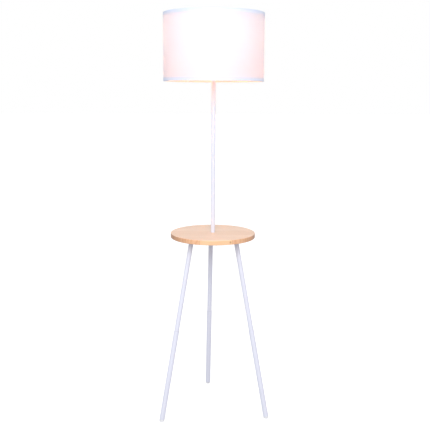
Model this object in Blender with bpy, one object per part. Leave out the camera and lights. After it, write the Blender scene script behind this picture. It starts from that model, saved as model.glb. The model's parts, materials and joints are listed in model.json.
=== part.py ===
"""Tripod floor lamp with a round wooden tray, a screwed tube pole and a drum shade.

Metres, +Z up, floor at z = 0. The back leg points along +Y. The pole stands a little in front of
the origin, because the origin is the middle of the whole lamp's footprint.
"""

import math

import bmesh
import bpy
from mathutils import Matrix, Vector

MM = 0.001
GAP = 0.3 * MM  # clearance between pieces that touch

# Shade
SHADE_RADIUS = 190.0 * MM
SHADE_HEIGHT = 250.0 * MM
SHADE_BOTTOM = 1310.0 * MM
SHADE_SIDES = 72
TRIM_THICKNESS = 0.4 * MM
TRIM_HEIGHT = 12.0 * MM
TRIM_DEPTH = 6.0 * MM
FABRIC_THICKNESS = 0.5 * MM
LINER_THICKNESS = 0.4 * MM
RIM_WIRE_RADIUS = 1.6 * MM
RIM_WIRE_SIDES = 6
RIM_WIRE_STEPS = 48

# Tray
TRAY_RADIUS = 165.0 * MM
TRAY_THICKNESS = 18.0 * MM
TRAY_TOP = 728.0 * MM
TRAY_ROUNDOVER = 2.5 * MM
TRAY_BOTTOM = TRAY_TOP - TRAY_THICKNESS
SPOT_DEPTH = 1.0 * MM  # the shallow spot face that the pole's foot stands in
SPOT_RADIUS = 8.25 * MM

# Tubes: the pole and the legs use the same stock
TUBE_RADIUS = 8.0 * MM
TUBE_BORE = 6.8 * MM
TUBE_CHAMFER = 0.4 * MM
TUBE_SIDES = 20
PLUG_RADIUS = TUBE_BORE - GAP
PLUG_LENGTH = 18.0 * MM
STUD_RADIUS = 4.0 * MM
STUD_HOLE = STUD_RADIUS + GAP
STUD_SIDES = 12

# Pole
POLE_SECTION = 302.0 * MM
POLE_SEAM = TRAY_TOP + POLE_SECTION
POLE_TOP = POLE_SEAM + POLE_SECTION
POLE_FOOT = TRAY_TOP - SPOT_DEPTH + GAP
NIPPLE_RADIUS = 5.0 * MM
NIPPLE_BORE = 3.6 * MM
NIPPLE_HOLE = NIPPLE_RADIUS + GAP

# Legs
FOOT_CIRCLE = 240.0 * MM  # from the pole's axis to a leg's axis, at the floor
LEG_CIRCLE = 98.0 * MM  # the same, at the tray's underside
LEG_LEAN = math.atan2(FOOT_CIRCLE - LEG_CIRCLE, TRAY_BOTTOM)
LEG_SEAM = TRAY_BOTTOM / math.cos(LEG_LEAN) / 2.0
LEG_HEADINGS = {"left": 210.0, "right": 330.0, "back": 90.0}  # degrees, from +X
FOOT_RADIUS = 7.8 * MM
FOOT_EDGE = 0.8 * MM
FOOT_HEIGHT = 8.0 * MM

# Leg brackets
PLATE_RADIUS = 22.0 * MM
PLATE_THICKNESS = 2.5 * MM
PLATE_TOP = TRAY_BOTTOM - GAP
BOSS_RADIUS = 9.0 * MM
BOSS_END = 711.0 * MM  # along the leg, from the floor
SCREW_CIRCLE = 16.0 * MM
SCREW_TURNS = {"a": 60.0, "b": 180.0, "c": 300.0}  # degrees from the leg's outward side
SCREW_HEAD_RADIUS = 3.2 * MM
SCREW_RADIUS = 1.9 * MM
SCREW_GRIP = 10.5 * MM  # how far a screw goes into the tray

# Lampholder and bulb: heights above the pole's top
SHOULDER_TOP = 22.5 * MM
FITTER_THICKNESS = 1.8 * MM
CLAMP_THICKNESS = 5.5 * MM
SLEEVE_TOP = 51.0 * MM
THREAD_TOP = 19.6 * MM
THREAD_ROOT = 19.0 * MM
BULB_TIP = 25.9 * MM
BULB_RADIUS = 30.0 * MM
BULB_WIDEST = 95.0 * MM
BULB_TOP = 131.0 * MM

# The footprint's middle: the shade reaches furthest forward, the back foot furthest back
BACK_REACH = FOOT_CIRCLE + FOOT_RADIUS / math.cos(LEG_LEAN) - FOOT_EDGE * math.tan(LEG_LEAN)
AXIS_Y = (SHADE_RADIUS - BACK_REACH) / 2.0


def clear_scene():
    for item in list(bpy.data.objects):
        bpy.data.objects.remove(item)


def material(name, colour, roughness, metallic=0.0):
    made = bpy.data.materials.new(name)
    made.use_nodes = True
    shader = made.node_tree.nodes["Principled BSDF"]
    shader.inputs["Base Color"].default_value = (*colour, 1.0)
    shader.inputs["Roughness"].default_value = roughness
    shader.inputs["Metallic"].default_value = metallic
    return made


def empty(name, parent=None, location=(0.0, 0.0, 0.0), rotation=(0.0, 0.0, 0.0)):
    marker = bpy.data.objects.new(name, None)
    marker.parent = parent
    marker.location = location
    marker.rotation_euler = rotation
    bpy.context.scene.collection.objects.link(marker)
    return marker


def finished(name, mesh, finish, parent, location=(0.0, 0.0, 0.0)):
    """Link a mesh as one named piece, with round faces shaded smooth."""
    if not mesh.materials:
        mesh.materials.append(finish)
    mesh.shade_smooth()
    mesh.set_sharp_from_angle(angle=math.radians(35.0))
    piece = bpy.data.objects.new(name, mesh)
    piece.parent = parent
    piece.location = location
    bpy.context.scene.collection.objects.link(piece)
    return piece


def mesh_from(shape, name):
    bmesh.ops.recalc_face_normals(shape, faces=shape.faces)
    mesh = bpy.data.meshes.new(name)
    shape.to_mesh(mesh)
    shape.free()
    return mesh


def turned(profile, sides, reshape=None):
    """Turn a closed outline of (radius, z) points about Z. A radius of 0 is a point on the axis.

    reshape(radius, angle) can change a radius round the turn, for a hexagon or a grip.
    """
    shape = bmesh.new()
    rings = []
    for radius, z in profile:
        if radius == 0.0:
            rings.append([shape.verts.new((0.0, 0.0, z))])
            continue
        ring = []
        for step in range(sides):
            angle = 2.0 * math.pi * step / sides
            reach = reshape(radius, angle) if reshape else radius
            ring.append(shape.verts.new((reach * math.cos(angle), reach * math.sin(angle), z)))
        rings.append(ring)
    for ring, following in zip(rings, rings[1:] + rings[:1]):
        for step in range(sides):
            after = step + 1
            corners = [
                ring[step % len(ring)],
                ring[after % len(ring)],
                following[after % len(following)],
                following[step % len(following)],
            ]
            corners = list(dict.fromkeys(corners))
            if len(corners) > 2:
                shape.faces.new(corners)
    return shape


def combined(base, other, operation):
    """The mesh of a Boolean between two meshes that share one frame."""
    first = bpy.data.objects.new("combine_base", base)
    second = bpy.data.objects.new("combine_other", other)
    for item in (first, second):
        bpy.context.scene.collection.objects.link(item)
    modifier = first.modifiers.new("combine", "BOOLEAN")
    modifier.operation = operation
    modifier.object = second
    modifier.solver = "EXACT"
    graph = bpy.context.evaluated_depsgraph_get()
    result = bpy.data.meshes.new_from_object(first.evaluated_get(graph))
    for item in (first, second):
        bpy.data.objects.remove(item)
    return result


def joined(shapes, name):
    """One mesh holding several separate closed shapes, for use as a cutter."""
    whole = bmesh.new()
    for shape in shapes:
        part = mesh_from(shape, name)
        whole.from_mesh(part)
        bpy.data.meshes.remove(part)
    return mesh_from(whole, name)


def rod(radius, low, high, sides, centre=(0.0, 0.0)):
    shape = turned([(0.0, low), (radius, low), (radius, high), (0.0, high)], sides)
    bmesh.ops.translate(shape, vec=(*centre, 0.0), verts=shape.verts)
    return shape


def polar(radius, degrees):
    angle = math.radians(degrees)
    return radius * math.cos(angle), radius * math.sin(angle)


def tube_profile(low, high):
    """A tube with small outer chamfers, which show as a fine line at a seam."""
    return [
        (TUBE_BORE, low),
        (TUBE_RADIUS - TUBE_CHAMFER, low),
        (TUBE_RADIUS, low + TUBE_CHAMFER),
        (TUBE_RADIUS, high - TUBE_CHAMFER),
        (TUBE_RADIUS - TUBE_CHAMFER, high),
        (TUBE_BORE, high),
    ]


def stud_profile(plug_low, shoulder, stud_end):
    """A plug pressed in a tube's end, with a stud of smaller radius standing out of it."""
    chamfer = 0.6 * MM if stud_end > shoulder else -0.6 * MM
    return [
        (0.0, plug_low),
        (PLUG_RADIUS, plug_low),
        (PLUG_RADIUS, shoulder),
        (STUD_RADIUS, shoulder),
        (STUD_RADIUS, stud_end - chamfer),
        (STUD_RADIUS - abs(chamfer), stud_end),
        (0.0, stud_end),
    ]


def sleeve_profile(bore, radius, low, high):
    return [(bore, low), (radius, low), (radius, high), (bore, high)]


def make_shade(axis, finish):
    """The drum and its frame. z = 0 is the shade's lower rim."""
    outside = SHADE_RADIUS
    trim_inside = outside - TRIM_THICKNESS
    fabric_outside = trim_inside - GAP
    fabric_inside = fabric_outside - FABRIC_THICKNESS
    liner_outside = fabric_inside - GAP
    liner_inside = liner_outside - LINER_THICKNESS
    wire_circle = liner_inside - GAP - RIM_WIRE_RADIUS
    web = TRIM_THICKNESS
    low, high = web + GAP, SHADE_HEIGHT - web - GAP

    fabric = turned(sleeve_profile(fabric_inside, fabric_outside, low, high), SHADE_SIDES)
    finished("shade_fabric", mesh_from(fabric, "shade_fabric"), finish["fabric"], axis)
    liner = turned(sleeve_profile(liner_inside, liner_outside, low, high), SHADE_SIDES)
    finished("shade_liner", mesh_from(liner, "shade_liner"), finish["liner"], axis)

    trim = [
        (outside - TRIM_DEPTH, 0.0),
        (outside, 0.0),
        (outside, TRIM_HEIGHT),
        (trim_inside, TRIM_HEIGHT),
        (trim_inside, web),
        (outside - TRIM_DEPTH, web),
    ]
    bottom = turned(trim, SHADE_SIDES)
    finished("shade_trim_bottom", mesh_from(bottom, "shade_trim_bottom"), finish["trim"], axis)
    top = turned([(radius, SHADE_HEIGHT - z) for radius, z in trim], SHADE_SIDES)
    finished("shade_trim_top", mesh_from(top, "shade_trim_top"), finish["trim"], axis)

    wire_height = web + GAP + RIM_WIRE_RADIUS
    section = []
    for step in range(RIM_WIRE_SIDES):
        across, up = polar(RIM_WIRE_RADIUS, 360.0 * step / RIM_WIRE_SIDES)
        section.append((wire_circle + across, up))
    for name, height in (("bottom", wire_height), ("top", SHADE_HEIGHT - wire_height)):
        ring = turned(section, RIM_WIRE_STEPS)
        mesh = mesh_from(ring, "shade_ring_" + name)
        finished("shade_ring_" + name, mesh, finish["white_wire"], axis, (0.0, 0.0, height))
    make_fitter(axis, finish, wire_circle, wire_height)


def make_fitter(axis, finish, wire_circle, wire_height):
    """The flat ring that sits on the lampholder, and three wire arms from it to the lower rim."""
    ring_low = POLE_TOP + SHOULDER_TOP + GAP - SHADE_BOTTOM
    bore, outside = 20.4 * MM, 27.0 * MM
    ring = turned(sleeve_profile(bore, outside, ring_low, ring_low + FITTER_THICKNESS), 32)
    finished("fitter_ring", mesh_from(ring, "fitter_ring"), finish["white_wire"], axis)

    arm_radius = 1.75 * MM
    inner = outside + GAP
    outer = wire_circle - RIM_WIRE_RADIUS - GAP
    start = ring_low + FITTER_THICKNESS / 2.0
    end = wire_height + 0.6 * MM
    route = [
        (inner, start),
        (inner + 7.0 * MM, start),
        (inner + 11.0 * MM, start - 1.0 * MM),
        (outer - 12.0 * MM, end + 2.2 * MM),
        (outer - 7.0 * MM, end),
        (outer, end),
    ]
    for letter, heading in (("a", 0.0), ("b", 120.0), ("c", 240.0)):
        name = "fitter_arm_" + letter
        curve = bpy.data.curves.new(name, "CURVE")
        curve.dimensions = "3D"
        curve.bevel_depth = arm_radius
        curve.bevel_resolution = 2
        curve.use_fill_caps = True
        spline = curve.splines.new("POLY")
        spline.points.add(len(route) - 1)
        for point, (across, up) in zip(spline.points, route):
            point.co = (across, 0.0, up, 1.0)
        curve.materials.append(finish["white_wire"])
        arm = bpy.data.objects.new(name, curve)
        arm.parent = axis
        arm.rotation_euler = (0.0, 0.0, math.radians(heading))
        bpy.context.scene.collection.objects.link(arm)


def make_tray(lamp, finish):
    """The wooden disc: a spot face for the pole, a hole for its nipple, pilots for the bracket screws."""
    edge = []
    for step in range(3):
        across, up = polar(TRAY_ROUNDOVER, 45.0 * step - 90.0)
        edge.append((TRAY_RADIUS - TRAY_ROUNDOVER + across, TRAY_ROUNDOVER + up))
    outline = [(0.0, 0.0)] + edge
    outline += [(radius, TRAY_THICKNESS - z) for radius, z in reversed(edge)] + [(0.0, TRAY_THICKNESS)]
    disc = mesh_from(turned(outline, 96), "tray_disc")

    over = 2.0 * MM
    holes = [rod(NIPPLE_HOLE, -over, TRAY_THICKNESS + over, STUD_SIDES)]
    for heading in LEG_HEADINGS.values():
        for turn in SCREW_TURNS.values():
            centre = Vector(polar(LEG_CIRCLE, heading)) + Vector(polar(SCREW_CIRCLE, heading + turn))
            holes.append(rod(SCREW_RADIUS + GAP, -over, SCREW_GRIP + GAP, 8, centre))
    drilled = combined(disc, joined(holes, "tray_holes"), "DIFFERENCE")
    spot = rod(SPOT_RADIUS, TRAY_THICKNESS - SPOT_DEPTH, TRAY_THICKNESS + over, 2 * TUBE_SIDES)
    tray = combined(drilled, mesh_from(spot, "tray_spot"), "DIFFERENCE")
    finished("tray", tray, finish["wood"], lamp, (0.0, 0.0, TRAY_BOTTOM))


def make_pole(lamp, finish):
    plug = PLUG_LENGTH
    lower = tube_profile(POLE_FOOT, POLE_SEAM - GAP / 2.0)
    upper = tube_profile(POLE_SEAM + GAP / 2.0, POLE_TOP)
    for name, profile in (("pole_lower", lower), ("pole_upper", upper)):
        finished(name, mesh_from(turned(profile, TUBE_SIDES), name), finish["white_metal"], lamp)

    # The stud in the upper section's foot is hollow, for the lead, and screws down into the socket
    stud_low, stud_plug = POLE_SEAM - 14.0 * MM, POLE_SEAM + GAP
    joint_stud = [
        (NIPPLE_BORE, stud_low),
        (NIPPLE_RADIUS, stud_low),
        (NIPPLE_RADIUS, stud_plug),
        (PLUG_RADIUS, stud_plug),
        (PLUG_RADIUS, stud_plug + plug),
        (NIPPLE_BORE, stud_plug + plug),
    ]
    socket_top = POLE_SEAM - GAP
    fittings = {
        "pole_foot_plug": sleeve_profile(NIPPLE_HOLE, PLUG_RADIUS, POLE_FOOT, POLE_FOOT + plug),
        "pole_joint_socket": sleeve_profile(NIPPLE_HOLE, PLUG_RADIUS, socket_top - plug, socket_top),
        "pole_joint_stud": joint_stud,
        "pole_top_plug": sleeve_profile(NIPPLE_HOLE, PLUG_RADIUS, POLE_TOP - plug, POLE_TOP),
        "pole_top_nipple": sleeve_profile(
            NIPPLE_BORE, NIPPLE_RADIUS, POLE_TOP - 14.0 * MM, POLE_TOP + 10.0 * MM
        ),
    }
    for name, profile in fittings.items():
        finished(name, mesh_from(turned(profile, 16), name), finish["zinc"], lamp)


def hexagon(corner_radius, angle):
    """Radius of a hexagon's side at an angle, with a corner at zero."""
    from_flat = (angle % (math.pi / 3.0)) - math.pi / 6.0
    return corner_radius * math.cos(math.pi / 6.0) / math.cos(from_flat)


def make_tray_fastening(lamp, finish):
    """The hollow nipple through the tray, with a washer and a nut, and the lead's bush in its end."""
    nipple_low = TRAY_BOTTOM - 12.0 * MM
    nipple = sleeve_profile(NIPPLE_BORE, NIPPLE_RADIUS, nipple_low, TRAY_TOP + 16.0 * MM)
    finished("tray_nipple", mesh_from(turned(nipple, 16), "tray_nipple"), finish["zinc"], lamp)

    washer_top = TRAY_BOTTOM - GAP
    washer = sleeve_profile(NIPPLE_HOLE, 15.0 * MM, washer_top - 1.5 * MM, washer_top)
    finished("tray_washer", mesh_from(turned(washer, 32), "tray_washer"), finish["zinc"], lamp)

    nut_top = washer_top - 1.5 * MM - GAP
    corner = 9.8 * MM
    nut = turned(
        sleeve_profile(NIPPLE_HOLE, corner, nut_top - 6.0 * MM, nut_top),
        12,
        lambda radius, angle: hexagon(radius, angle) if radius == corner else radius,
    )
    finished("tray_nut", mesh_from(nut, "tray_nut"), finish["zinc"], lamp)

    flange_top = nipple_low - GAP
    bush_bore, sleeve = 2.4 * MM, NIPPLE_BORE - GAP
    bush = [
        (bush_bore, flange_top - 2.5 * MM),
        (5.6 * MM, flange_top - 2.5 * MM),
        (6.2 * MM, flange_top - 1.8 * MM),
        (6.2 * MM, flange_top),
        (sleeve, flange_top),
        (sleeve, nipple_low + 8.0 * MM),
        (bush_bore, nipple_low + 8.0 * MM),
    ]
    finished("cord_bush", mesh_from(turned(bush, 16), "cord_bush"), finish["white_plastic"], lamp)


def level_cut(shape, heights):
    """Lean the rings at the given heights so that they lie level when the leg stands leaning.

    In a leg's own frame, Z runs up the leg and X points outward.
    """
    for vertex in shape.verts:
        for height in heights:
            if abs(vertex.co.z - height) < 1e-6:
                vertex.co.z = height / math.cos(LEG_LEAN) - vertex.co.x * math.tan(LEG_LEAN)
                break
    return shape


def leg_frame(heading):
    turn = Matrix.Rotation(math.radians(heading), 4, "Z")
    lean = Matrix.Rotation(-LEG_LEAN, 4, "Y")
    return turn @ Matrix.Translation((FOOT_CIRCLE, 0.0, 0.0)) @ lean


def foot_mesh():
    """A plug in the tube's end with a flange whose underside is level with the floor."""
    shape = turned(
        [
            (0.0, 0.0),
            (FOOT_RADIUS - FOOT_EDGE, 0.0),
            (FOOT_RADIUS, FOOT_EDGE),
            (FOOT_RADIUS, FOOT_HEIGHT),
            (PLUG_RADIUS, FOOT_HEIGHT),
            (PLUG_RADIUS, FOOT_HEIGHT + 11.0 * MM),
            (0.0, FOOT_HEIGHT + 12.0 * MM),
        ],
        TUBE_SIDES,
    )
    return mesh_from(level_cut(shape, (0.0, FOOT_EDGE)), "foot")


def bracket_mesh():
    """A round plate with a leaning boss, bored for the leg's stud and drilled for three screws."""
    level = leg_frame(0.0).inverted()
    plate = rod(PLATE_RADIUS, PLATE_TOP - PLATE_THICKNESS, PLATE_TOP, 32, (LEG_CIRCLE, 0.0))
    plate.transform(level)
    inside_plate = PLATE_TOP - PLATE_THICKNESS / 2.0
    boss = rod(BOSS_RADIUS, BOSS_END, inside_plate, 24)
    boss = level_cut(boss, (inside_plate,))
    bracket = combined(mesh_from(plate, "plate"), mesh_from(boss, "boss"), "UNION")

    over = 12.0 * MM
    cutters = [rod(STUD_HOLE, BOSS_END - over, BOSS_END + 2.0 * over, STUD_SIDES)]
    for turn in SCREW_TURNS.values():
        across, along = polar(SCREW_CIRCLE, turn)
        hole = rod(
            SCREW_RADIUS + 2.0 * GAP,
            PLATE_TOP - PLATE_THICKNESS - 1.0 * MM,
            PLATE_TOP + 1.0 * MM,
            8,
            (LEG_CIRCLE + across, along),
        )
        hole.transform(level)
        cutters.append(hole)
    return combined(bracket, joined(cutters, "bracket_holes"), "DIFFERENCE")


def screw_mesh():
    """A pan-head wood screw with its head down; z = 0 is the tray's underside."""
    seat = -GAP - PLATE_THICKNESS - GAP
    return mesh_from(
        turned(
            [
                (0.0, seat - 2.0 * MM),
                (SCREW_HEAD_RADIUS - 0.7 * MM, seat - 2.0 * MM),
                (SCREW_HEAD_RADIUS, seat - 1.0 * MM),
                (SCREW_HEAD_RADIUS, seat),
                (SCREW_RADIUS, seat),
                (SCREW_RADIUS, SCREW_GRIP - 3.0 * MM),
                (0.0, SCREW_GRIP),
            ],
            8,
        ),
        "bracket_screw",
    )


def make_legs(lamp, finish):
    """Three legs. Each leg's pieces hang from an empty at its foot, with Z up the leg."""
    tube_low = FOOT_HEIGHT + GAP
    tube_top = BOSS_END - GAP
    lower = mesh_from(turned(tube_profile(tube_low, LEG_SEAM - GAP / 2.0), TUBE_SIDES), "leg_lower")

    # The upper section's foot is closed down to the joint stud's thread
    collar_top = LEG_SEAM + 17.0 * MM
    upper_profile = tube_profile(LEG_SEAM + GAP / 2.0, tube_top)
    upper_profile[0] = (STUD_HOLE, upper_profile[0][1])
    upper_profile += [(TUBE_BORE, collar_top), (STUD_HOLE, collar_top)]
    upper = mesh_from(turned(upper_profile, TUBE_SIDES), "leg_upper")

    joint_shoulder = LEG_SEAM - GAP
    joint = stud_profile(joint_shoulder - PLUG_LENGTH, joint_shoulder, joint_shoulder + 14.0 * MM)
    top = stud_profile(tube_top - PLUG_LENGTH, tube_top, tube_top + 10.0 * MM)
    shapes = {
        "foot": (foot_mesh(), "white_plastic"),
        "leg_lower": (lower, "white_metal"),
        "leg_joint_stud": (mesh_from(turned(joint, STUD_SIDES), "leg_joint_stud"), "zinc"),
        "leg_upper": (upper, "white_metal"),
        "leg_top_stud": (mesh_from(turned(top, STUD_SIDES), "leg_top_stud"), "zinc"),
        "leg_bracket": (bracket_mesh(), "white_metal"),
    }
    screw = screw_mesh()
    for side, heading in LEG_HEADINGS.items():
        location = (*polar(FOOT_CIRCLE, heading), 0.0)
        leg = empty("leg_axis_" + side, lamp, location, (0.0, -LEG_LEAN, math.radians(heading)))
        for name, (mesh, slot) in shapes.items():
            finished(name + "_" + side, mesh, finish[slot], leg)
        for letter, turn in SCREW_TURNS.items():
            centre = Vector(polar(LEG_CIRCLE, heading)) + Vector(polar(SCREW_CIRCLE, heading + turn))
            name = "bracket_screw_" + letter + "_" + side
            finished(name, screw, finish["zinc"], lamp, (*centre, TRAY_BOTTOM))


def ridges(crest, root, low, high, count):
    """Outline points of a run of rounded screw threads, from low to high."""
    points = []
    pitch = (high - low) / count
    for number in range(count):
        points.append((crest, low + pitch * number + 0.3 * pitch))
        points.append((root, low + pitch * number + 0.8 * pitch))
    return points


def in_mm(points):
    return [(radius * MM, z * MM) for radius, z in points]


def make_lampholder(holder, finish):
    """The screw lampholder. z = 0 is the pole's top."""
    cap = in_mm([
        (5.3, 0.3), (9.0, 0.3), (15.5, 4.0), (19.0, 11.0), (19.0, 17.0),
        (17.4, 17.0), (17.4, 11.4), (14.6, 5.8), (8.6, 2.3), (5.3, 2.3),
    ])
    finished("holder_cap", mesh_from(turned(cap, 24), "holder_cap"), finish["white_plastic"], holder)

    top = SLEEVE_TOP
    sleeve = in_mm([(16.9, 17.3), (19.0, 17.3), (19.0, 19.0), (23.0, 20.5)])
    sleeve += [(23.0 * MM, SHOULDER_TOP), (THREAD_ROOT, SHOULDER_TOP)]
    sleeve += ridges(THREAD_TOP, THREAD_ROOT, SHOULDER_TOP + 1.0 * MM, top - 3.0 * MM, 5)
    sleeve += [(18.4 * MM, top), (16.9 * MM, top)]
    mesh = mesh_from(turned(sleeve, 24), "holder_sleeve")
    finished("holder_sleeve", mesh, finish["white_plastic"], holder)

    core = in_mm([
        (2.0, 17.6), (16.4, 17.6), (16.4, 24.0), (14.9, 24.0), (14.9, 21.8),
        (6.0, 21.8), (6.0, 24.0), (2.0, 24.0),
    ])
    finished("holder_core", mesh_from(turned(core, 24), "holder_core"), finish["white_plastic"], holder)

    shell = in_mm([(8.0, 22.1), (14.1, 22.1), (14.4, 26.0), (14.1, 31.0), (14.4, 36.0), (14.1, 41.0),
                   (14.4, 48.0), (13.9, 48.0), (13.5, 41.0), (13.8, 36.0), (13.5, 31.0),
                   (13.8, 26.0), (13.5, 22.6), (8.0, 22.6)])
    finished("screw_shell", mesh_from(turned(shell, 20), "screw_shell"), finish["brass"], holder)

    contact = in_mm([(0.0, 24.3), (3.2, 24.3), (3.2, 25.0), (1.8, 25.6), (0.0, 25.6)])
    mesh = mesh_from(turned(contact, 12), "centre_contact")
    finished("centre_contact", mesh, finish["brass"], holder)


def make_clamp_ring(holder, finish):
    """The threaded ring that clamps the shade's fitter, with notches to grip it by."""
    low = SHOULDER_TOP + GAP + FITTER_THICKNESS + GAP
    axis = empty("clamp_ring_axis", holder, (0.0, 0.0, low))
    bore, outside, notch = 20.0 * MM, 26.0 * MM, 1.2 * MM
    bevel = 0.8 * MM
    sides, notches = 36, 12

    def gripped(radius, angle):
        place = round(angle / (2.0 * math.pi) * sides) % (sides // notches)
        return radius - notch if radius > bore and place == 0 else radius

    profile = [
        (bore, 0.0),
        (outside, 0.0),
        (outside, CLAMP_THICKNESS - bevel),
        (outside - bevel, CLAMP_THICKNESS),
        (bore, CLAMP_THICKNESS),
    ]
    mesh = mesh_from(turned(profile, sides, gripped), "shade_clamp_ring")
    finished("shade_clamp_ring", mesh, finish["white_plastic"], axis)


def make_bulb(holder, finish):
    """A screw-cap lamp. Its pieces hang from empties on the axis; z = 0 is the pole's top."""
    carrier = empty("bulb_rise_axis", holder)
    contact = in_mm([(0.0, 0.0), (2.6, 0.0), (4.5, 1.1), (4.5, 2.3), (0.0, 2.3)])
    contact = [(radius, BULB_TIP + z) for radius, z in contact]
    finished("bulb_contact", mesh_from(turned(contact, 12), "bulb_contact"), finish["brass"], carrier)

    axis = empty("bulb_turn_axis", carrier)
    cap = in_mm([(4.9, 28.5), (10.5, 30.6), (12.2, 32.4)])
    cap += ridges(13.0 * MM, 12.2 * MM, 33.0 * MM, 49.0 * MM, 4)
    cap += in_mm([(12.9, 51.0), (12.9, 53.5), (11.5, 53.5), (11.5, 32.8), (10.0, 31.4), (4.9, 29.3)])
    finished("bulb_cap", mesh_from(turned(cap, 20), "bulb_cap"), finish["cap_metal"], axis)

    housing = in_mm([
        (9.9, 47.0), (11.1, 47.0), (11.1, 53.8), (13.2, 53.8), (14.6, 57.0), (21.5, 72.0), (28.6, 86.0),
        (29.2, 88.0), (28.0, 88.0), (27.3, 86.0), (20.3, 72.5), (13.3, 57.6), (9.9, 54.5),
    ])
    mesh = mesh_from(turned(housing, 24), "bulb_housing")
    finished("bulb_housing", mesh, finish["white_plastic"], axis)

    wall = 1.2 * MM
    rim = 88.3 * MM
    first = math.asin((rim - BULB_WIDEST) / BULB_RADIUS)
    rise = BULB_TOP - BULB_WIDEST
    outside, inside = [], []
    steps = 7
    for step in range(steps + 1):
        angle = first + (math.pi / 2.0 - first) * step / steps
        stretch = rise if angle > 0.0 else BULB_RADIUS
        across, up = math.cos(angle), math.sin(angle)
        outside.append((BULB_RADIUS * across, BULB_WIDEST + stretch * up))
        inside.append(((BULB_RADIUS - wall) * across, BULB_WIDEST + (stretch - wall) * up))
    outside[-1] = (0.0, BULB_TOP)
    inside[-1] = (0.0, BULB_TOP - wall)
    inside[0] = (inside[0][0], rim)
    globe = turned(outside + inside[::-1], 24)
    finished("bulb_globe", mesh_from(globe, "bulb_globe"), finish["opal"], axis)


def main():
    clear_scene()
    finish = {
        "fabric": material("shade_fabric", (0.93, 0.91, 0.90), 0.9),
        "liner": material("shade_liner", (0.95, 0.94, 0.92), 0.5),
        "trim": material("shade_trim", (0.86, 0.86, 0.95), 0.8),
        "wood": material("tray_wood", (0.85, 0.66, 0.47), 0.45),
        "white_metal": material("white_metal", (0.88, 0.88, 0.92), 0.35),
        "white_wire": material("white_wire", (0.85, 0.85, 0.86), 0.4),
        "white_plastic": material("white_plastic", (0.86, 0.86, 0.87), 0.4),
        "zinc": material("zinc_steel", (0.62, 0.63, 0.65), 0.35, 1.0),
        "brass": material("brass", (0.80, 0.62, 0.30), 0.3, 1.0),
        "cap_metal": material("cap_metal", (0.78, 0.78, 0.78), 0.3, 1.0),
        "opal": material("bulb_opal", (0.98, 0.93, 0.82), 0.4),
    }
    lamp = empty("lamp_axis", None, (0.0, AXIS_Y, 0.0))
    make_tray(lamp, finish)
    make_tray_fastening(lamp, finish)
    make_pole(lamp, finish)
    make_legs(lamp, finish)
    holder = empty("holder_axis", lamp, (0.0, 0.0, POLE_TOP))
    make_lampholder(holder, finish)
    make_clamp_ring(holder, finish)
    make_bulb(holder, finish)
    make_shade(empty("shade_axis", lamp, (0.0, 0.0, SHADE_BOTTOM)), finish)


main()
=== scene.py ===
"""Looks of the tripod floor lamp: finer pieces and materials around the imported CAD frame.

Metres, +Z up, the row's own frame. Lengths below are in millimetres where they are multiplied by MM.
"""
import json
import math

import bpy
from mathutils import Matrix, Vector


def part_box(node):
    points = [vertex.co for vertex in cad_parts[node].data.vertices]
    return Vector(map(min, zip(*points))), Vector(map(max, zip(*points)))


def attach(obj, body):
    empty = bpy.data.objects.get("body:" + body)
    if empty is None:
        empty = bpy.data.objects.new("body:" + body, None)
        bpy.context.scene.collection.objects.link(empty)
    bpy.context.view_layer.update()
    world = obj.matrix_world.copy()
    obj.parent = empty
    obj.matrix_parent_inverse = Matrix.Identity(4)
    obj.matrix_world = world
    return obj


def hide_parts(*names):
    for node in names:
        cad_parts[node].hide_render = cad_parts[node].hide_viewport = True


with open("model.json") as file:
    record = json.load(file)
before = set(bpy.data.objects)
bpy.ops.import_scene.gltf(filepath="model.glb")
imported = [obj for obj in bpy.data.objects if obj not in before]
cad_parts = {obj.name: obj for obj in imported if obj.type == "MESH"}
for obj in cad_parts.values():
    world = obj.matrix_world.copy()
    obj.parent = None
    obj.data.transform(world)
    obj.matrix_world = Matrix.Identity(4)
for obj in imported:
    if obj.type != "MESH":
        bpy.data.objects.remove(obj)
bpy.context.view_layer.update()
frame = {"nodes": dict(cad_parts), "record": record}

MM = 0.001
AXIS = sum(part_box("pole_lower"), Vector()) / 2.0
AXIS.z = 0.0
ON_AXIS = Matrix.Translation(AXIS)
UP = Vector((0.0, 0.0, 1.0))

# Camera: where it stands from the pole's axis, and how it looks from there
CAMERA_DISTANCE = 2.7002
CAMERA_HEIGHT = 1.2649
CAMERA_AZIMUTH = math.radians(-4.411)
CAMERA_YAW = math.radians(-0.173)
CAMERA_PITCH = math.radians(9.839)
CAMERA_ROLL = math.radians(0.32)
CAMERA_LENS = 58.661
SENSOR = 36.0

# Light. Azimuths and elevations are in degrees, azimuth 0 in front and 90 on the right
STUDIO_WHITE = (0.97, 0.975, 1.0)
STUDIO_STRENGTH = 0.81
BACKGROUND_STRENGTH = 1.0  # what the camera sees behind the lamp
SOFTBOX_AZIMUTH = -6.0
SOFTBOX_DISTANCE = 2.0
SOFTBOX_HEIGHT = 1.85
SOFTBOX_AIM = 1.1  # the height it is turned to
SOFTBOX_WIDTH = 1.15
SOFTBOX_POWER = 29.0
SOFTBOX_COLOUR = (0.97, 0.98, 1.0)
TOP_AZIMUTH = -10.0
TOP_ELEVATION = 80.0
TOP_SPREAD = 100.0
TOP_STRENGTH = 0.28
FLOOR_REACH = 40.0
FLOOR_GLOW = 0.32
BULB_STRENGTH = 205.0
BULB_COLOUR = (1.0, 0.46, 0.15, 1.0)

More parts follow.
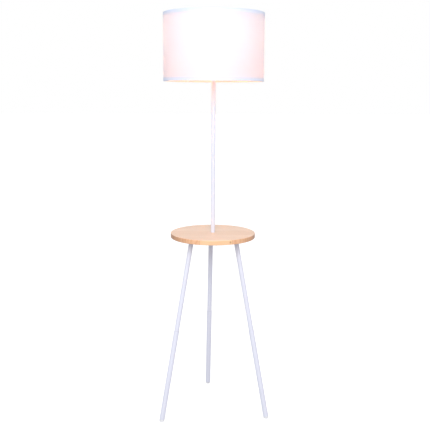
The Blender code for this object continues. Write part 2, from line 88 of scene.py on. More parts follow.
# Shade
SHADE_SIDES = 160
DRUM_ROWS = 24
THREADS_PER_METRE = 900.0
CLOTH_SHARE = 0.40  # how much of the bulb's light the cloth lets through
CLOTH_PASSES = ((0.42, 0.57, 0.98), (0.38, 0.52, 0.92))
# Painted light: the cloth's translucency turns warmer and brighter towards its foot
CLOTH_PAINTED_FOOT_GLOW = (0.70, 0.73, 1.0)
PAINTED_FOOT_GLOW_REACH = 0.11  # how far above the cloth's lower edge the painted glow reaches
LAP_WIDTH = 12.0 * MM
LAP_END = 3.0 * MM  # where it stops short of the cloth's edges
LAP_COLUMNS = 8
LAP_SHARE = 0.80
LAP_PASSES = ((1.0, 0.97, 0.93), (0.96, 0.93, 0.88))
# Painted light: the lap's translucency turns warmer and brighter towards its foot
LAP_PAINTED_FOOT_GLOW = (1.0, 0.96, 0.90)
TAPE_THICKNESS = 0.35 * MM
TAPE_INSIDE = 10.0 * MM  # how far up the inside the folded tape goes
TAPE_BEND = 1.7 * MM
TAPE_RIBS_PER_METRE = 700.0
RIM_WIRE_RADIUS = 1.6 * MM
FITTER_WIRE_RADIUS = 1.75 * MM
FITTER_WIRE_SIDES = 12
FITTER_BORE = 20.4 * MM

# Tray
TRAY_SIDES = 180
TRAY_EDGE = 2.5 * MM
STAVE_WIDTH = 0.045
FIRST_JOINT = -0.153  # the foremost glue line, from the pole's axis
KNOT = (0.054, -0.156, 0.7195)

# Tubes and their fastenings
TUBE_SIDES = 56
TUBE_BORE_SHARE = 0.85  # of the tube's radius
TUBE_END = 0.7 * MM  # the rounding of its ends
CLEARANCE = 0.3 * MM  # between pieces that touch
PLATE_THICKNESS = 2.5 * MM
BOSS_WALL = 1.0 * MM
BOSS_FLARE = 4.0 * MM  # how far the boss widens where it meets the plate
NIPPLE_PITCH = 1.0 * MM
NIPPLE_DEPTH = 0.5 * MM
FOOT_TRIM = 4.0 * MM  # the height over which a foot is cut level

# Lampholder and bulb
SLEEVE_BORE = 16.9 * MM
SLEEVE_CREST = 19.6 * MM
SLEEVE_ROOT = 18.9 * MM
SLEEVE_TURNS = 6
CLAMP_BORE = 20.0 * MM
CLAMP_GRIPS = 30
GRIP_DEPTH = 0.7 * MM
CAP_THREAD_DEPTH = 0.9 * MM
CAP_TURNS = 5
GLOBE_RISE = 36.0 * MM  # from its widest ring to its top
GLOBE_WALL = 1.2 * MM

NEARLY_STRAIGHT = math.radians(15.0)  # corners flatter than this are not rounded


# ---------------------------------------------------------------- measuring the frame

def reach(node, origin=AXIS, direction=UP):
    """How far along a line a CAD node starts and ends, and its largest distance from the line."""
    along, away = [], []
    for vertex in frame["nodes"][node].data.vertices:
        offset = vertex.co - origin
        distance = offset.dot(direction)
        along.append(distance)
        away.append((offset - distance * direction).length)
    return min(along), max(along), max(away)


def mount(name):
    found = next(entry for entry in frame["record"]["mounts"] if entry["name"] == name)
    return Vector(found["pos_m"])


def leg_place(side):
    """A leg's own frame: its origin on the floor, Z up the leg and X outward."""
    foot = mount("foot_" + side + "_base")
    low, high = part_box("leg_bracket_" + side)
    top = (low + high) / 2.0
    top.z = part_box("tray")[0].z
    up = (top - foot).normalized()
    across = UP.cross(foot - AXIS).normalized()
    outward = across.cross(up)
    place = Matrix((outward, across, up)).transposed().to_4x4()
    return Matrix.Translation(foot) @ place


# ---------------------------------------------------------------- mesh making

def softened(outline, radius, steps=3, closed=True):
    """Round an outline's corners, each by no more than its edges allow."""
    made = []
    count = len(outline)
    for index, corner in enumerate(outline):
        point = Vector(corner)
        before = Vector(outline[index - 1]) - point
        after = Vector(outline[(index + 1) % count]) - point
        is_end = not closed and index in (0, count - 1)
        if is_end or corner[0] == 0.0 or before.angle(-after, 0.0) < NEARLY_STRAIGHT:
            made.append(tuple(point))
            continue
        cut = min(radius, 0.48 * before.length, 0.48 * after.length)
        first = point + before.normalized() * cut
        last = point + after.normalized() * cut
        for step in range(steps + 1):
            share = step / steps
            made.append(tuple(
                first * (1.0 - share) ** 2 + point * 2.0 * share * (1.0 - share) + last * share ** 2
            ))
    return made


def ribbon(path, thickness):
    """The closed outline of a strip that follows an open path."""
    sides = ([], [])
    for index, point in enumerate(path):
        before = Vector(path[max(index - 1, 0)])
        after = Vector(path[min(index + 1, len(path) - 1)])
        run = (after - before).normalized()
        normal = Vector((-run.y, run.x)) * thickness / 2.0
        sides[0].append(tuple(Vector(point) + normal))
        sides[1].append(tuple(Vector(point) - normal))
    return sides[0] + sides[1][::-1]


def turned(name, outline, sides, reshape=None):
    """Turn a closed outline of (radius, height) about Z. Its UV is in metres, round and along."""
    area = 0.0
    for (r_a, z_a), (r_b, z_b) in zip(outline, outline[1:] + outline[:1]):
        area += r_a * z_b - r_b * z_a
    if area < 0.0:
        outline = outline[::-1]
    points, rings, lengths = [], [], [0.0]
    for index, (radius, height) in enumerate(outline):
        steps = sides if radius > 0.0 else 1
        rings.append(range(len(points), len(points) + steps))
        for step in range(steps):
            angle = 2.0 * math.pi * step / sides
            out = reshape(radius, height, angle) if reshape else radius
            points.append((out * math.cos(angle), out * math.sin(angle), height))
        following = outline[(index + 1) % len(outline)]
        lengths.append(lengths[-1] + math.dist((radius, height), following))
    around = 2.0 * math.pi * max(radius for radius, height in outline) / sides
    faces, texture = [], []
    for index, ring in enumerate(rings):
        above = rings[(index + 1) % len(rings)]
        if len(ring) == len(above) == 1:
            continue
        for step in range(sides):
            corners = [(ring, step, index), (ring, step + 1, index),
                       (above, step + 1, index + 1), (above, step, index + 1)]
            face, places = [], []
            for source, number, row in corners:
                vertex = source[number % len(source)]
                if vertex not in face:
                    face.append(vertex)
                    places.append((number * around, lengths[row]))
            faces.append(face)
            texture.extend(places)
    mesh = bpy.data.meshes.new(name)
    mesh.from_pydata(points, [], faces)
    layer = mesh.uv_layers.new(name="turned")
    for entry, place in zip(layer.data, texture):
        entry.uv = place
    return mesh


def from_object(item):
    """The finished mesh of an object with its modifiers, taking the object away."""
    bpy.context.scene.collection.objects.link(item)
    graph = bpy.context.evaluated_depsgraph_get()
    mesh = bpy.data.meshes.new_from_object(item.evaluated_get(graph))
    bpy.data.objects.remove(item)
    return mesh


def combined(base, other, operation):
    """The mesh of a Boolean between two meshes in one frame."""
    cutter = bpy.data.objects.new("cutter", other)
    bpy.context.scene.collection.objects.link(cutter)
    item = bpy.data.objects.new("base", base)
    modifier = item.modifiers.new("combine", "BOOLEAN")
    modifier.operation = operation
    modifier.object = cutter
    modifier.solver = "EXACT"
    mesh = from_object(item)
    bpy.data.objects.remove(cutter)
    return mesh


def fitter_wire(name, route):
    """A round wire along a route."""
    curve = bpy.data.curves.new(name, "CURVE")
    curve.dimensions = "3D"
    curve.bevel_depth = FITTER_WIRE_RADIUS
    curve.bevel_resolution = FITTER_WIRE_SIDES // 4
    curve.use_fill_caps = True
    spline = curve.splines.new("POLY")
    spline.points.add(len(route) - 1)
    for point, place in zip(spline.points, route):
        point.co = (*place, 1.0)
    return from_object(bpy.data.objects.new(name, curve))


def piece(name, mesh, body, slot, nodes=(), place=ON_AXIS, finishes=None, crease=32.0):
    """One visible piece: shaded smooth, riding on its body and standing for its CAD nodes."""
    mesh.materials.clear()
    for finish in finishes or [FINISH[slot]]:
        mesh.materials.append(finish)
    mesh.shade_smooth()
    mesh.set_sharp_from_angle(angle=math.radians(crease))
    made = bpy.data.objects.new(name, mesh)
    bpy.context.scene.collection.objects.link(made)
    made.matrix_world = place
    weighted = made.modifiers.new("normals", "WEIGHTED_NORMAL")
    weighted.keep_sharp = True
    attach(made, body)
    if nodes:
        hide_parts(*nodes)
    return made


# ---------------------------------------------------------------- materials

class Tree:
    """A new material, and short calls to add its nodes."""

    def __init__(self, name):
        self.material = bpy.data.materials.new(name)
        self.material.use_nodes = True
        self.tree = self.material.node_tree
        self.shader = self.tree.nodes["Principled BSDF"]
        self.output = self.tree.nodes["Material Output"]

    def add(self, kind, inputs=None, **settings):
        node = self.tree.nodes.new("ShaderNode" + kind)
        for key, value in settings.items():
            setattr(node, key, value)
        for key, value in (inputs or {}).items():
            self.feed(node.inputs[key], value)
        return node

    def feed(self, socket, value):
        if isinstance(value, bpy.types.NodeSocket):
            self.tree.links.new(value, socket)
        else:
            socket.default_value = value

    def math(self, operation, *values):
        return self.add("Math", dict(enumerate(values)), operation=operation).outputs[0]

    def vector(self, operation, *values):
        """A vector calculation, giving the node, whose first output is a vector and second a number."""
        return self.add("VectorMath", dict(enumerate(values)), operation=operation)

    def noise(self, place, scale, detail=2.0, roughness=0.5):
        inputs = {"Vector": place, "Scale": scale, "Detail": detail, "Roughness": roughness}
        return self.add("TexNoise", inputs).outputs[0]

    def stretched(self, place, factors):
        return self.add("Mapping", {"Vector": place, "Scale": factors}).outputs[0]

    def ramp(self, value, stops):
        node = self.add("ValToRGB", {0: value})
        elements = node.color_ramp.elements
        while len(elements) < len(stops):
            elements.new(0.5)
        for element, (position, colour) in zip(elements, stops):
            element.position = position
            element.color = (*colour, 1.0)
        return node.outputs[0]

    def span(self, value, low, high, to_low, to_high):
        node = self.add("MapRange", {0: value, 1: low, 2: high, 3: to_low, 4: to_high})
        return node.outputs[0]

    def mix(self, share, first, second, blend="MIX"):
        node = self.add("Mix", {0: share}, data_type="RGBA", blend_type=blend)
        for socket, value in ((node.inputs[6], first), (node.inputs[7], second)):
            self.feed(socket, (*value, 1.0) if isinstance(value, tuple) else value)
        return node.outputs[2]

    def bump(self, height, distance, strength=1.0, normal=None):
        inputs = {"Height": height, "Distance": distance, "Strength": strength}
        if normal is not None:
            inputs["Normal"] = normal
        return self.add("Bump", inputs).outputs[0]

    def place(self):
        return self.add("TexCoord").outputs["Object"]

    def turned_place(self):
        return self.add("UVMap", uv_map="turned").outputs[0]

    def surface(self, **inputs):
        for key, value in inputs.items():
            self.feed(self.shader.inputs[key.replace("_", " ")], value)
        return self.material

    def blended(self, share, shader):
        """Blend the material's surface with another shader."""
        mixed = self.add("MixShader", {0: share, 1: self.shader.outputs[0], 2: shader})
        self.feed(self.output.inputs["Surface"], mixed.outputs[0])
        return self.material


def shade_by(colour, factor):
    return tuple(channel * factor for channel in colour)


def powder_coat(name, colour, roughness):
    """Sprayed and baked coat: a fine orange-peel surface, with its thickness a little uneven."""
    t = Tree(name)
    place = t.place()
    cloud = t.noise(place, 14.0, 3.0)
    peel = t.noise(place, 1400.0, 2.0)
    speck = t.noise(place, 5200.0, 1.0)
    tint = t.ramp(cloud, [(0.3, shade_by(colour, 0.975)), (0.7, colour)])
    fine = t.mix(t.span(speck, 0.35, 0.65, 0.0, 0.10), tint, shade_by(colour, 0.9))
    rough = t.span(t.noise(place, 60.0, 3.0), 0.3, 0.7, roughness - 0.05, roughness + 0.06)
    normal = t.bump(peel, 0.05 * MM, 0.5)
    return t.surface(Base_Color=fine, Roughness=rough, Normal=normal)


def moulded_plastic(name, colour):
    """Injection-moulded plastic with a fine spark-eroded grain."""
    t = Tree(name)
    place = t.place()
    grain = t.noise(place, 2600.0, 2.0)
    cloud = t.noise(place, 35.0, 2.0)
    tint = t.ramp(cloud, [(0.35, shade_by(colour, 0.96)), (0.65, colour)])
    rough = t.span(grain, 0.3, 0.7, 0.34, 0.46)
    return t.surface(Base_Color=tint, Roughness=rough, Normal=t.bump(grain, 0.04 * MM, 0.6))


def turned_metal(name, colour, roughness, tarnish):
    """Metal with fine lathe lines round it and a slightly clouded plating."""
    t = Tree(name)
    lines = t.noise(t.stretched(t.turned_place(), (25.0, 9000.0, 1.0)), 1.0, 2.0)
    cloud = t.noise(t.place(), 160.0, 4.0)
    tint = t.ramp(cloud, [(0.35, tarnish), (0.62, colour)])
    lined = t.mix(t.span(lines, 0.35, 0.65, 0.0, 0.25), tint, shade_by(colour, 0.7))
    rough = t.span(lines, 0.3, 0.7, roughness - 0.07, roughness + 0.1)
    return t.surface(Base_Color=lined, Roughness=rough, Metallic=1.0,
                     Normal=t.bump(lines, 0.02 * MM, 0.4))


def tray_wood():
    """Light rubberwood staves glued side by side along X, under a satin lacquer."""
    t = Tree("tray_wood")
    place = t.place()
    split = t.add("SeparateXYZ", {0: place})
    x, y, z = split.outputs
    run = t.math("DIVIDE", t.math("SUBTRACT", y, FIRST_JOINT), STAVE_WIDTH)
    number = t.math("FLOOR", run)
    within = t.math("SUBTRACT", run, number)
    chance = t.add("TexWhiteNoise", {"W": number}, noise_dimensions="1D")
    offset = t.vector("MULTIPLY", chance.outputs[1], (3.0, 1.3, 0.7)).outputs[0]
    own = t.vector("ADD", place, offset).outputs[0]

    sway = t.noise(t.stretched(own, (7.0, 26.0, 26.0)), 1.0, 2.0)
    rings = t.add("TexWave", {
        "Vector": t.stretched(own, (1.4, 34.0, 22.0)), "Scale": 1.0, "Distortion": 7.0,
        "Detail": 3.0, "Detail Scale": 0.8, "Detail Roughness": 0.55,
    }, bands_direction="Y").outputs[1]
    fibre = t.noise(t.stretched(own, (22.0, 900.0, 900.0)), 1.0, 4.0, 0.65)
    pores = t.noise(t.stretched(own, (150.0, 2600.0, 2600.0)), 1.0, 1.0)

    light, middle, deep = (0.91, 0.65, 0.475), (0.85, 0.565, 0.39), (0.68, 0.39, 0.24)
    figure = t.math("ADD", t.math("MULTIPLY", rings, 0.45), t.math("MULTIPLY", sway, 0.6))
    colour = t.ramp(figure, [(0.12, deep), (0.45, middle), (0.85, light)])
    colour = t.mix(t.span(fibre, 0.35, 0.7, 0.0, 0.30), colour, (0.95, 0.70, 0.46))
    warmth = t.span(chance.outputs[0], 0.0, 1.0, 0.0, 0.42)
    colour = t.mix(warmth, colour, (0.74, 0.42, 0.22))
    foremost = t.math("LESS_THAN", number, -0.5)
    colour = t.mix(t.math("MULTIPLY", foremost, 0.6), colour, (0.98, 0.72, 0.47))

    # End grain shows where the disc's edge cuts across the staves, and takes the lacquer darker
    low, high, radius = reach("tray")
    edge_top = t.span(z, high - 1.2 * MM, high - 0.4 * MM, 1.0, 0.0)
    edge_foot = t.span(z, low + 0.4 * MM, low + 1.2 * MM, 0.0, 1.0)
    across = t.span(t.math("ABSOLUTE", x), 0.60 * radius, 0.95 * radius, 0.0, 1.0)
    edge = t.math("MULTIPLY", edge_top, edge_foot)
    colour = t.mix(edge, colour, (1.0, 0.86, 0.74), blend="MULTIPLY")
    end_grain = t.math("MULTIPLY", edge, across)
    colour = t.mix(end_grain, colour, (0.70, 0.62, 0.56), blend="MULTIPLY")

    dash = t.span(pores, 0.66, 0.74, 0.0, 0.45)
    colour = t.mix(dash, colour, (0.46, 0.26, 0.13))

    from_joint = t.math("SUBTRACT", 0.5, t.math("ABSOLUTE", t.math("SUBTRACT", within, 0.5)))
    joint = t.span(from_joint, 0.0, 0.014, 0.6, 0.0)
    colour = t.mix(joint, colour, (0.50, 0.29, 0.15))

    apart = t.vector("SUBTRACT", place, KNOT).outputs[0]
    from_knot = t.vector("LENGTH", t.stretched(apart, (0.6, 1.0, 0.6))).outputs[1]
    knot = t.span(from_knot, 1.2 * MM, 3.4 * MM, 0.6, 0.0)
    colour = t.mix(knot, colour, (0.42, 0.21, 0.10))

    rough = t.span(fibre, 0.3, 0.7, 0.27, 0.36)
    dents = t.bump(fibre, 0.06 * MM, 0.35)
    normal = t.bump(t.math("ADD", dash, joint), -0.10 * MM, 0.6, dents)
    return t.surface(Base_Color=colour, Roughness=rough, Normal=normal,
                     Coat_Weight=0.35, Coat_Roughness=0.18)


def weave(t, threads, slub):
    """Height of a plain weave, from 0 to 1, and the unevenness of its threads."""
    place = t.add("SeparateXYZ", {0: t.turned_place()})
    across = t.math("MULTIPLY", place.outputs[0], threads)
    along = t.math("MULTIPLY", place.outputs[1], threads)
    crowns = []
    for value in (across, along):
        half = t.math("PINGPONG", value, 0.5)
        crowns.append(t.math("SINE", t.math("MULTIPLY", half, math.pi)))
    cell = t.math("ADD", t.math("FLOOR", across), t.math("FLOOR", along))
    over = t.math("MODULO", cell, 2.0)
    other = t.math("SUBTRACT", 1.0, over)
    warp = t.math("MULTIPLY", crowns[0], t.math("ADD", t.math("MULTIPLY", over, 0.6), 0.4))
    weft = t.math("MULTIPLY", crowns[1], t.math("ADD", t.math("MULTIPLY", other, 0.6), 0.4))
    height = t.math("MAXIMUM", warp, weft)
    source = t.turned_place()
    up = t.noise(t.stretched(source, (threads, threads * 0.02, 1.0)), 1.0, 2.0)
    round_it = t.noise(t.stretched(source, (threads * 0.02, threads, 1.0)), 1.0, 2.0)
    uneven = t.math("MULTIPLY", t.math("ADD", up, round_it), slub)
    return height, uneven


def let_through(t, colour, share):
    """Let a share of the light through the material's surface."""
    return t.blended(share, t.add("BsdfTranslucent", {"Color": colour}).outputs[0])


def shade_cloth(name, share, passes, painted_foot_glow):
    """Fine plain-weave cloth with slightly uneven threads; it glows when the bulb is lit."""
    t = Tree(name)
    height, uneven = weave(t, THREADS_PER_METRE, 0.5)
    body = t.ramp(uneven, [(0.35, (0.90, 0.88, 0.90)), (0.65, (0.94, 0.925, 0.95))])
    # Painted shade: darker where the weave is low, in the hollows between threads
    colour = t.mix(t.span(height, 0.15, 0.8, 0.16, 0.0), body, (0.70, 0.64, 0.62))
    passed = t.mix(t.span(uneven, 0.3, 0.7, 0.0, 0.25), *passes)
    # Painted light: towards its foot the cloth passes more of the bulb's warm light, a painted glow where
    # the bulb lights it less
    low = reach("shade_fabric")[0]
    up = t.add("SeparateXYZ", {0: t.place()}).outputs[2]
    passed = t.mix(t.span(up, low, low + PAINTED_FOOT_GLOW_REACH, 1.0, 0.0), passed, painted_foot_glow)
    normal = t.bump(t.math("ADD", height, t.math("MULTIPLY", uneven, 0.6)), 0.12 * MM, 0.5)
    t.surface(Base_Color=colour, Roughness=0.85, Normal=normal, Sheen_Weight=0.15,
              Sheen_Roughness=0.4, Specular_IOR_Level=0.2)
    return let_through(t, passed, share)


def shade_film():
    """The white film that the cloth is laminated on, seen from inside the shade, coloured warm as painted
    bulb light.
    """
    t = Tree("shade_film")
    place = t.turned_place()
    mottle = t.noise(place, 90.0, 4.0)
    print_through = t.noise(t.stretched(place, (THREADS_PER_METRE, THREADS_PER_METRE, 1.0)), 1.0, 1.0)
    # Painted light: the film's colour is warm, standing in for the bulb's warm light on it
    colour = t.ramp(mottle, [(0.3, (0.95, 0.80, 0.66)), (0.7, (0.965, 0.84, 0.72))])
    rough = t.span(mottle, 0.3, 0.7, 0.38, 0.5)
    normal = t.bump(print_through, 0.03 * MM, 0.3)
    t.surface(Base_Color=colour, Roughness=rough, Normal=normal)
    return let_through(t, (0.92, 0.93, 1.0, 1.0), 0.45)


def shade_tape():
    """Folded edging tape, ribbed across its width."""
    t = Tree("shade_tape")
    place = t.add("SeparateXYZ", {0: t.turned_place()})
    rib = t.math("SINE", t.math("MULTIPLY", place.outputs[0], 2.0 * math.pi * TAPE_RIBS_PER_METRE))
    rib = t.math("ADD", t.math("MULTIPLY", rib, 0.5), 0.5)
    cloud = t.noise(t.turned_place(), 70.0, 3.0)
    colour = t.ramp(cloud, [(0.3, (0.71, 0.78, 0.95)), (0.7, (0.74, 0.81, 0.97))])
    # Painted shade: darker in the grooves between the ribs
    colour = t.mix(t.span(rib, 0.0, 0.5, 0.12, 0.0), colour, (0.72, 0.72, 0.80))
    # Painted light: the fold inside the rim is coloured warm, standing in for the bulb's warm light on it
    out = t.vector("LENGTH", t.stretched(t.place(), (1.0, 1.0, 0.0))).outputs[1]
    radius = reach("shade_trim_bottom")[2]
    inside = t.span(out, radius - 1.6 * MM, radius - 0.8 * MM, 1.0, 0.0)
    colour = t.mix(inside, colour, (0.80, 0.67, 0.62))
    t.surface(Base_Color=colour, Roughness=0.7, Normal=t.bump(rib, 0.08 * MM, 0.5),
              Sheen_Weight=0.1, Specular_IOR_Level=0.3)
    return let_through(t, (0.05, 0.40, 1.0, 1.0), 0.03)


def lit_opal():
    """The lit bulb's diffuser: matt opal plastic that glows warm white."""
    t = Tree("bulb_opal")
    cloud = t.noise(t.place(), 120.0, 2.0)
    colour = t.ramp(cloud, [(0.3, (0.95, 0.90, 0.80)), (0.7, (0.98, 0.94, 0.86))])
    rough = t.span(cloud, 0.3, 0.7, 0.35, 0.45)
    return t.surface(Base_Color=colour, Roughness=rough, Emission_Color=BULB_COLOUR,
                     Emission_Strength=BULB_STRENGTH)


def studio_floor():
    """A floor that the camera sees as near white, and that throws only part of it back on the lamp.

    From underneath it is clear, so that the lamp's underside can be looked at.
    """
    t = Tree("studio_floor")
    cloud = t.noise(t.place(), 1.5, 3.0)
    camera_ray = t.add("LightPath").outputs["Is Camera Ray"]
    seen = t.ramp(cloud, [(0.3, (0.92, 0.92, 0.925)), (0.7, (0.935, 0.935, 0.94))])
    thrown = t.ramp(cloud, [(0.3, (0.50, 0.50, 0.51)), (0.7, (0.52, 0.52, 0.53))])
    colour = t.mix(camera_ray, thrown, seen)
    glow = t.math("MULTIPLY", camera_ray, FLOOR_GLOW)
    t.surface(Base_Color=colour, Roughness=0.7, Specular_IOR_Level=0.1,
              Emission_Color=(1.0, 1.0, 1.0, 1.0), Emission_Strength=glow)
    underneath = t.add("NewGeometry").outputs["Backfacing"]
    return t.blended(underneath, t.add("BsdfTransparent").outputs[0])


FINISH = {
    "white_metal": powder_coat("white_powder_coat", (0.79, 0.80, 0.90), 0.36),
    "white_wire": powder_coat("white_wire_coat", (0.86, 0.86, 0.875), 0.42),
    "white_plastic": moulded_plastic("white_plastic", (0.87, 0.87, 0.88)),
    "zinc_steel": turned_metal("zinc_steel", (0.66, 0.67, 0.69), 0.33, (0.58, 0.59, 0.56)),
    "brass": turned_metal("brass", (0.83, 0.64, 0.31), 0.28, (0.70, 0.50, 0.24)),
    "cap_metal": turned_metal("cap_metal", (0.80, 0.80, 0.79), 0.30, (0.70, 0.70, 0.69)),
    "tray_wood": tray_wood(),
    "shade_fabric": shade_cloth("shade_cloth", CLOTH_SHARE, CLOTH_PASSES, CLOTH_PAINTED_FOOT_GLOW),
    "shade_liner": shade_film(),
    "shade_trim": shade_tape(),
    "bulb_opal": lit_opal(),
}


# ---------------------------------------------------------------- camera, light and floor

def make_camera():
    camera = bpy.data.objects.new("camera", bpy.data.cameras.new("camera"))
    bpy.context.scene.collection.objects.link(camera)
    bpy.context.scene.camera = camera
    camera.data.lens = CAMERA_LENS
    camera.data.sensor_width = SENSOR
    camera.data.clip_start, camera.data.clip_end = 0.05, 100.0
    heading = CAMERA_AZIMUTH + CAMERA_YAW
    level = Vector((-math.sin(heading), math.cos(heading), 0.0))
    forward = level * math.cos(CAMERA_PITCH) - UP * math.sin(CAMERA_PITCH)
    right = level.cross(UP)
    above = right.cross(forward)
    across = right * math.cos(CAMERA_ROLL) + above * math.sin(CAMERA_ROLL)
    upright = above * math.cos(CAMERA_ROLL) - right * math.sin(CAMERA_ROLL)
    turn = Matrix((across, upright, -forward)).transposed().to_4x4()
    stand = Vector((
        CAMERA_DISTANCE * math.sin(CAMERA_AZIMUTH),
        -CAMERA_DISTANCE * math.cos(CAMERA_AZIMUTH),
        CAMERA_HEIGHT,
    ))
    camera.matrix_world = Matrix.Translation(AXIS + stand) @ turn


def add_light(name, light, location, towards):
    """Put a light at a place, shining away from a direction."""
    lamp = bpy.data.objects.new(name, light)
    bpy.context.scene.collection.objects.link(lamp)
    lamp.location = location
    lamp.rotation_mode = "QUATERNION"
    lamp.rotation_quaternion = towards.to_track_quat("Z", "Y")


def make_softbox():
    """A square softbox in front of the lamp, turned to the lamp's middle."""
    light = bpy.data.lights.new("front_softbox", "AREA")
    light.shape = "SQUARE"
    light.size = SOFTBOX_WIDTH
    light.energy = SOFTBOX_POWER
    light.color = SOFTBOX_COLOUR
    turn = math.radians(SOFTBOX_AZIMUTH)
    stand = (SOFTBOX_DISTANCE * math.sin(turn), -SOFTBOX_DISTANCE * math.cos(turn), SOFTBOX_HEIGHT)
    location = AXIS + Vector(stand)
    aim = AXIS + Vector((0.0, 0.0, SOFTBOX_AIM))
    add_light("front_softbox", light, location, location - aim)


def make_top_light():
    """A wide, weak light from above."""
    light = bpy.data.lights.new("top_softbox", "SUN")
    light.energy = TOP_STRENGTH
    light.angle = math.radians(TOP_SPREAD)
    turn, rise = math.radians(TOP_AZIMUTH), math.radians(TOP_ELEVATION)
    level = math.cos(rise)
    towards = Vector((math.sin(turn) * level, -math.cos(turn) * level, math.sin(rise)))
    add_light("top_softbox", light, towards * 4.0, towards)


def make_world():
    """Even light from all round, with a white that only the camera sees."""
    world = bpy.data.worlds.new("studio")
    bpy.context.scene.world = world
    world.use_nodes = True
    tree = world.node_tree
    around = tree.nodes["Background"]
    around.inputs["Color"].default_value = (*STUDIO_WHITE, 1.0)
    around.inputs["Strength"].default_value = STUDIO_STRENGTH
    seen = tree.nodes.new("ShaderNodeBackground")
    seen.inputs["Color"].default_value = (1.0, 1.0, 1.0, 1.0)
    seen.inputs["Strength"].default_value = BACKGROUND_STRENGTH
    path = tree.nodes.new("ShaderNodeLightPath")
    mix = tree.nodes.new("ShaderNodeMixShader")
    tree.links.new(path.outputs["Is Camera Ray"], mix.inputs[0])
    tree.links.new(around.outputs[0], mix.inputs[1])
    tree.links.new(seen.outputs[0], mix.inputs[2])
    tree.links.new(mix.outputs[0], tree.nodes["World Output"].inputs["Surface"])


def make_floor():
    mesh = bpy.data.meshes.new("studio_floor")
    corners = [(FLOOR_REACH * x, FLOOR_REACH * y, 0.0) for x, y in ((-1, -1), (1, -1), (1, 1), (-1, 1))]
    mesh.from_pydata(corners, [], [(0, 1, 2, 3)])
    mesh.materials.append(studio_floor())
    floor = bpy.data.objects.new("studio_floor", mesh)
    bpy.context.scene.collection.objects.link(floor)


def make_studio():
    view = bpy.context.scene.view_settings
    view.view_transform = "Standard"
    view.look = "None"
    make_world()
    make_softbox()
    make_top_light()
    make_floor()


# ---------------------------------------------------------------- stand

def tube(name, node, place, direction):
    """A tube with rolled ends, standing for a CAD tube."""
    low, high, radius = reach(node, place.translation, direction)
    bore = radius * TUBE_BORE_SHARE
    outline = [(bore, low), (radius, low), (radius, high), (bore, high)]
    mesh = turned(name, softened(outline, TUBE_END), TUBE_SIDES)
    piece(name, mesh, "stand", "white_metal", [node], place)


def make_pole():
    for part in ("lower", "upper"):
        tube("pole_tube_" + part, "pole_" + part, ON_AXIS, UP)


def make_tray():
    low, high, radius = reach("tray")
    hole = reach("tray_nipple")[2] + CLEARANCE
    foot, _, foot_radius = reach("pole_lower")
    spot, spot_floor = foot_radius + 0.25 * MM, foot - CLEARANCE
    corners = [(hole, low), (radius, low), (radius, high), (hole, high)]
    # A ring just inside each rounded edge keeps the flat faces flat when shaded
    inset = radius - TRAY_EDGE - 1.5 * MM
    edge = [point for point in softened(corners, TRAY_EDGE, 8) if point[0] > inset]
    inside = [(inset, high), (spot, high), (spot, spot_floor), (hole, spot_floor)]
    outline = [(hole, low), (inset, low), *edge, *inside]
    piece("tray_disc", turned("tray_disc", outline, TRAY_SIDES), "stand", "tray_wood", ["tray"])


def hexagon(corner_radius, angle):
    """How far a hexagon's side is from its middle at an angle."""
    from_flat = (angle % (math.pi / 3.0)) - math.pi / 6.0
    return corner_radius * math.cos(math.pi / 6.0) / math.cos(from_flat)


def make_tray_fastening():
    low, high, radius = reach("tray_washer")
    bore = reach("tray_nipple")[2] + CLEARANCE
    washer = softened([(bore, low), (radius, low), (radius, high), (bore, high)], 0.4 * MM)
    piece("tray_washer_disc", turned("tray_washer_disc", washer, 64), "stand", "zinc_steel",
          ["tray_washer"])

    low, high, corner = reach("tray_nut")
    bevel = 0.9 * MM

    def faceted(radius, height, angle):
        if radius < corner - 3.0 * MM:
            return radius
        inset = max(low + bevel - height, height - high + bevel, 0.0)
        return min(hexagon(corner, angle), corner - 1.6 * inset)

    levels = [low, low + bevel, high - bevel, high]
    nut = [(bore, low)] + [(corner, level) for level in levels] + [(bore, high)]
    piece("tray_hex_nut", turned("tray_hex_nut", nut, 72, faceted), "stand", "zinc_steel",
          ["tray_nut"], crease=24.0)

    low, high, radius = reach("tray_nipple")
    root = radius - NIPPLE_DEPTH
    inner = radius * 0.72
    nipple = [(inner, low), (root, low)]
    for turn in range(int((high - low) / NIPPLE_PITCH)):
        nipple.append((radius, low + NIPPLE_PITCH * (turn + 0.3)))
        nipple.append((root, low + NIPPLE_PITCH * (turn + 0.8)))
    nipple.append((inner, high))
    piece("tray_threaded_nipple", turned("tray_threaded_nipple", nipple, 40), "stand", "zinc_steel",
          ["tray_nipple"])

    low, high, radius = reach("cord_bush")
    neck, lead = radius * 0.53, radius * 0.38
    flange = low + 2.5 * MM
    bush = [(lead, low), (radius, low), (radius, flange), (neck, flange), (neck, high), (lead, high)]
    piece("cord_bush_ring", turned("cord_bush_ring", softened(bush, 0.9 * MM, 4), 48), "stand",
          "white_plastic", ["cord_bush"])


